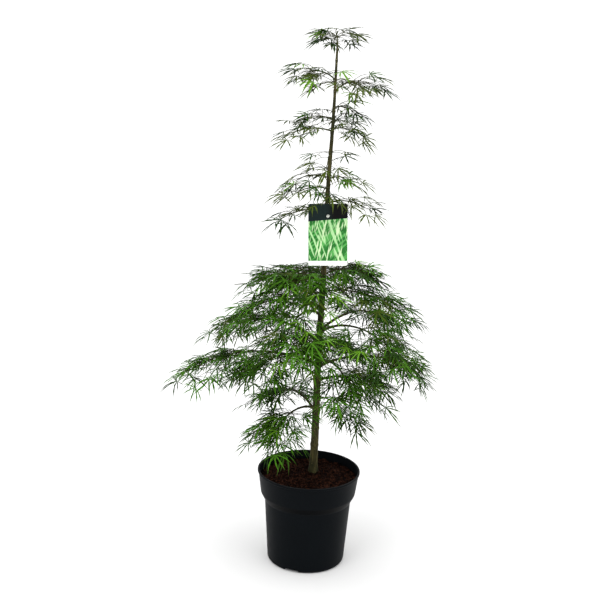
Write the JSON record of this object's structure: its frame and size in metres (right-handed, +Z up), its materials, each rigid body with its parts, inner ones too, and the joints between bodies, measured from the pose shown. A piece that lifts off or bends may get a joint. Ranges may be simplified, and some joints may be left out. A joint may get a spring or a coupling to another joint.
{
  "type": "potted laced-leaf japanese maple tree",
  "caption": "Potted laced-leaf Japanese maple: slender stem, tiers of deeply cut leaves over a wide weeping skirt, in a round black nursery pot with a blank hanging plant label.",
  "frame": {"origin": "centre of the pot's flat underside, at the ground", "axes": "+Z up along the trunk, +X to the right and -Y towards the viewer, who faces the label"},
  "size_m": [0.5877, 0.52, 1.0904],
  "materials": {
    "black_pot_plastic": "injection-moulded polypropylene, black, satin",
    "compost": "moist bark and peat compost, matte",
    "maple_bark": "young smooth bark, green-brown, matte",
    "maple_foliage": "living leaves and twigs, satin",
    "label_card": "printed polypropylene plant label, satin",
    "label_tie": "thin white string with a moulded bead"
  },
  "bodies": {
    "root": {"bough_fork_back": "maple_bark", "bough_fork_front": "maple_bark", "bough_fork_left": "maple_bark", "bough_fork_left_back": "maple_bark", "bough_fork_left_front": "maple_bark", "bough_fork_right": "maple_bark", "bough_high_left_front": "maple_bark", "bough_high_right_back": "maple_bark", "bough_high_right_front": "maple_bark", "bough_low_back": "maple_bark", "bough_low_front_left": "maple_bark", "bough_low_right": "maple_bark", "compost": "compost", "foliage_fork_back": "maple_foliage", "foliage_fork_front": "maple_foliage", "foliage_fork_left": "maple_foliage", "foliage_fork_left_back": "maple_foliage", "foliage_fork_left_front": "maple_foliage", "foliage_fork_right": "maple_foliage", "foliage_high_left_front": "maple_foliage", "foliage_high_right_back": "maple_foliage", "foliage_high_right_front": "maple_foliage", "foliage_leader": "maple_foliage", "foliage_low_back": "maple_foliage", "foliage_low_front_left": "maple_foliage", "foliage_low_front_right": "maple_foliage", "foliage_low_right": "maple_foliage", "foliage_shoulder_front": "maple_foliage", "foliage_shoulder_left": "maple_foliage", "foliage_shoulder_left_front": "maple_foliage", "foliage_shoulder_right": "maple_foliage", "foliage_skirt_back": "maple_foliage", "foliage_skirt_front": "maple_foliage", "foliage_skirt_left": "maple_foliage", "foliage_skirt_right": "maple_foliage", "foliage_tier1_back": "maple_foliage", "foliage_tier1_left": "maple_foliage", "foliage_tier1_left_front": "maple_foliage", "foliage_tier1_right": "maple_foliage", "foliage_tier2_back": "maple_foliage", "foliage_tier2_front": "maple_foliage", "foliage_tier2_left": "maple_foliage", "foliage_tier2_right": "maple_foliage", "foliage_tier3_front": "maple_foliage", "foliage_tier3_left": "maple_foliage", "foliage_tier3_right": "maple_foliage", "foliage_tier4_back": "maple_foliage", "foliage_tier4_left": "maple_foliage", "foliage_tier4_right": "maple_foliage", "foliage_tier5_back": "maple_foliage", "foliage_tier5_left": "maple_foliage", "foliage_tier5_right": "maple_foliage", "label_card": "label_card", "label_tie": "label_tie", "pot": "black_pot_plastic", "trunk": "maple_bark"}
  },
  "joints": []
}
